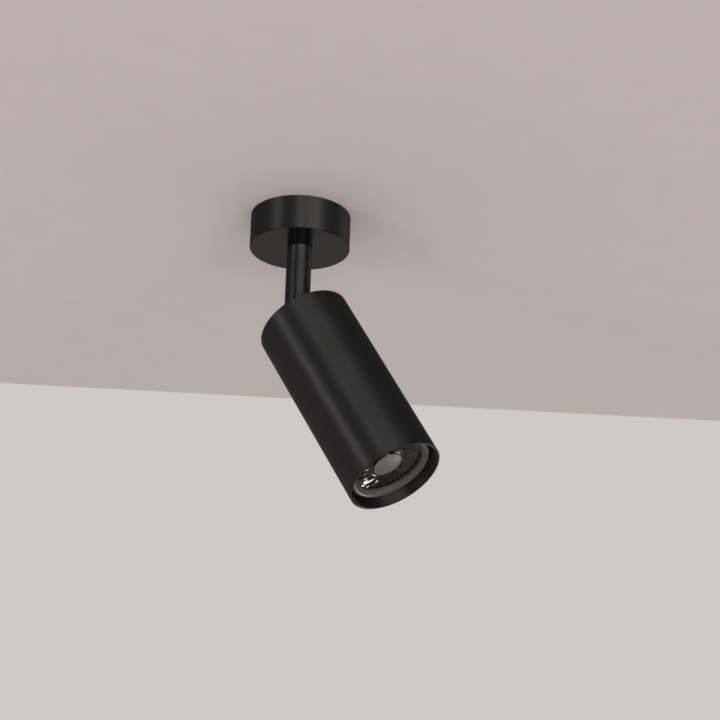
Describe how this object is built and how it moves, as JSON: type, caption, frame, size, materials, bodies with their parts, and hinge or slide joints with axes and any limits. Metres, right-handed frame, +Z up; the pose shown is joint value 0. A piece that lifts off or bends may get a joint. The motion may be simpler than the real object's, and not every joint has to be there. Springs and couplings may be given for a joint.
{
  "type": "spotlight",
  "caption": "Surface-mounted ceiling spotlight: a round canopy, a short swivelling stem and a tilting tubular head that holds a twist-lock reflector lamp.",
  "frame": {"origin": "centre of the ceiling face, on the swivel axis", "axes": "+Z up into the ceiling along the swivel axis; the tilt axis lies along X, and at rest the head leans 31 degrees from straight down towards -Y"},
  "size_m": [0.06, 0.121, 0.1882],
  "materials": {
    "black_paint": "satin black powder coat",
    "plated_steel": "bright zinc plating",
    "brass": "bare",
    "lead_insulation": "smooth lead insulation in brown, blue and green-yellow",
    "white_plastic": "moulded",
    "dark_nylon": "moulded",
    "rubber": "matte",
    "ceramic": "unglazed",
    "lamp_aluminium": "die-cast",
    "board_green": "solder mask",
    "phosphor": "soft gloss",
    "clear_lens": "clear moulded lens",
    "grey_bezel": "satin grey"
  },
  "bodies": {
    "root": {"mounting_plate": "plated_steel", "canopy": "black_paint", "canopy_screws": "black_paint", "terminal_block": "white_plastic", "terminal_clamps": "brass", "terminal_screws": "plated_steel", "block_screw": "plated_steel", "earth_screw": "plated_steel", "collar": "black_paint", "canopy_leads": "lead_insulation"},
    "stem": {"stem": "black_paint", "thrust_washer": "dark_nylon", "stop_pin": "plated_steel", "friction_ring": "dark_nylon", "spring_washer": "plated_steel", "swivel_nut": "plated_steel", "stem_leads": "lead_insulation", "knuckle_leads": "lead_insulation"},
    "head": {"tongue": "black_paint", "tilt_screws": "plated_steel", "friction_washers": "brass", "tongue_screws": "plated_steel", "tube": "black_paint", "rear_plate": "black_paint", "grommet": "rubber", "holder_bracket": "plated_steel", "holder_screws": "plated_steel", "lampholder": "ceramic", "holder_contacts": "brass", "head_leads": "lead_insulation", "head_earth_lead": "lead_insulation", "head_earth_screw": "plated_steel"},
    "lamp": {"lamp_base": "white_plastic", "lamp_pins": "plated_steel", "lamp_shell": "lamp_aluminium", "driver_board": "board_green", "driver_parts": "dark_nylon", "led_board": "white_plastic", "led_chip": "phosphor", "lamp_lens": "clear_lens", "lamp_bezel": "grey_bezel"}
  },
  "joints": [
    {"name": "swivel", "type": "hinge", "parent": "root", "child": "stem", "pos_m": [0, 0, -0.0329], "axis": [0, 0, 1], "range_deg": [-165, 165]},
    {"name": "tilt", "type": "hinge", "parent": "stem", "child": "head", "pos_m": [0, 0, -0.0622], "axis": [-1, 0, 0], "range_deg": [-31, 59], "deforming": ["knuckle_leads"]},
    {"name": "lamp_twist", "type": "hinge", "parent": "head", "child": "lamp", "pos_m": [0, 0, -0.0622], "axis": [0, -0.515, -0.8572], "range_deg": [0, 25]}
  ]
}
